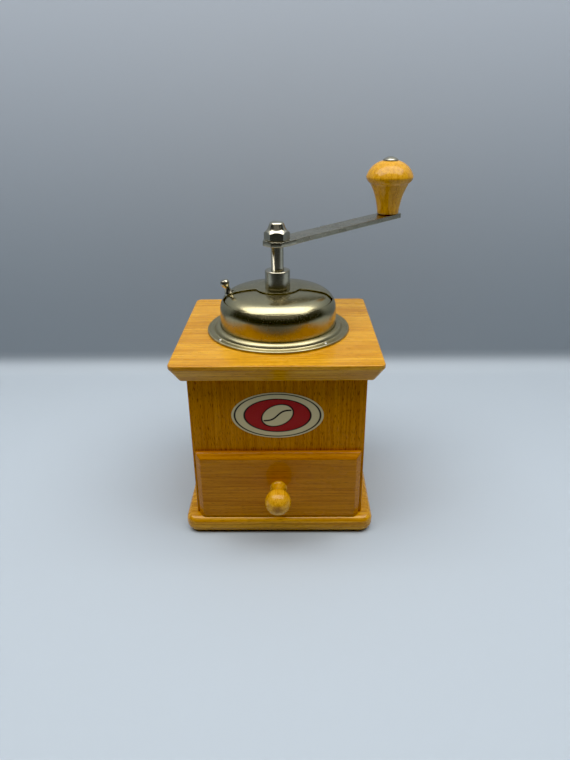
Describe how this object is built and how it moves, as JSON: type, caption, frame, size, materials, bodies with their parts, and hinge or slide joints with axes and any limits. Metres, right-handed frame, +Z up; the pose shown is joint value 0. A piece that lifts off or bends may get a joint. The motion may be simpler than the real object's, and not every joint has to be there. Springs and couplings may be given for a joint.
{
  "type": "hand crank coffee grinder",
  "caption": "Wooden box coffee grinder with a crank and turned knob, a domed metal hopper with a turning lid, a conical burr mill and a drawer for the grounds.",
  "frame": {"origin": "centre of the base board's underside, on the surface that the grinder stands on", "axes": "+Z up along the shaft, -Y towards the drawer side, +X to the right seen from the drawer side"},
  "size_m": [0.1571, 0.1678, 0.2199],
  "materials": {
    "box_beech": "honey-orange clear lacquer, semi-gloss",
    "inner_beech": "plain sanded, not lacquered",
    "plywood": "thin plywood, not lacquered",
    "turned_beech": "turned and lacquered, glossy",
    "transfer": "thin printed transfer under lacquer",
    "nickelled_sheet": "nickel plate, aged and slightly speckled",
    "nickelled_steel": "nickel plate, worn on the edges",
    "bare_steel": "plain steel",
    "grey_iron": "as cast, dark grey"
  },
  "bodies": {
    "box": {"base_board": "box_beech", "left_side": "box_beech", "right_side": "box_beech", "back_panel": "box_beech", "front_panel": "box_beech", "top_board": "box_beech", "base_screws": "bare_steel", "front_label": "transfer", "hopper_dome": "nickelled_sheet", "flange_ring": "nickelled_sheet", "flange_nails": "bare_steel", "bean_funnel": "nickelled_sheet", "upper_bearing": "nickelled_steel", "bearing_nut": "bare_steel", "burr_housing": "grey_iron", "housing_screws": "bare_steel", "ring_burr": "grey_iron", "bearing_bridge": "grey_iron", "bridge_screws": "bare_steel"},
    "drawer": {"drawer_front": "box_beech", "drawer_left_side": "inner_beech", "drawer_right_side": "inner_beech", "drawer_back": "inner_beech", "drawer_floor": "plywood", "drawer_knob": "turned_beech"},
    "lid": {"hopper_lid": "nickelled_sheet", "lid_knob": "nickelled_steel"},
    "thrust_bearing": {"thrust_ball": "bare_steel"},
    "adjuster": {"adjusting_screw": "bare_steel"},
    "crank": {"drive_shaft": "nickelled_steel", "crank_arm": "nickelled_steel", "cap_nut": "nickelled_steel", "knob_pin": "nickelled_steel", "cone_burr": "grey_iron", "cross_pin": "bare_steel"},
    "grip": {"crank_knob": "turned_beech"}
  },
  "joints": [
    {"name": "drawer_slide", "type": "slide", "parent": "box", "child": "drawer", "axis": [0, -1, 0], "range_m": [0, 0.08]},
    {"name": "lid_turn", "type": "hinge", "parent": "box", "child": "lid", "pos_m": [0, 0, 0.1466], "axis": [0, 0, 1], "range_deg": [0, 165]},
    {"name": "burr_lift", "type": "slide", "parent": "box", "child": "thrust_bearing", "axis": [0, 0, 1], "range_m": [-0.00125, 0.00125]},
    {"name": "adjust_turn", "type": "hinge", "parent": "thrust_bearing", "child": "adjuster", "pos_m": [0, 0, 0.06], "axis": [0, 0, 1], "range_deg": [-360.1, 360.1]},
    {"name": "crank_spin", "type": "hinge", "parent": "thrust_bearing", "child": "crank", "pos_m": [0, 0, 0.159], "axis": [0, 0, 1], "continuous": true},
    {"name": "knob_spin", "type": "hinge", "parent": "crank", "child": "grip", "pos_m": [0.07803, 0.07026, 0.2], "axis": [0, 0, 1], "continuous": true}
  ],
  "couplings": [
    {"joint": "adjust_turn", "follows": "burr_lift", "rad_per_m": 5026.5}
  ]
}
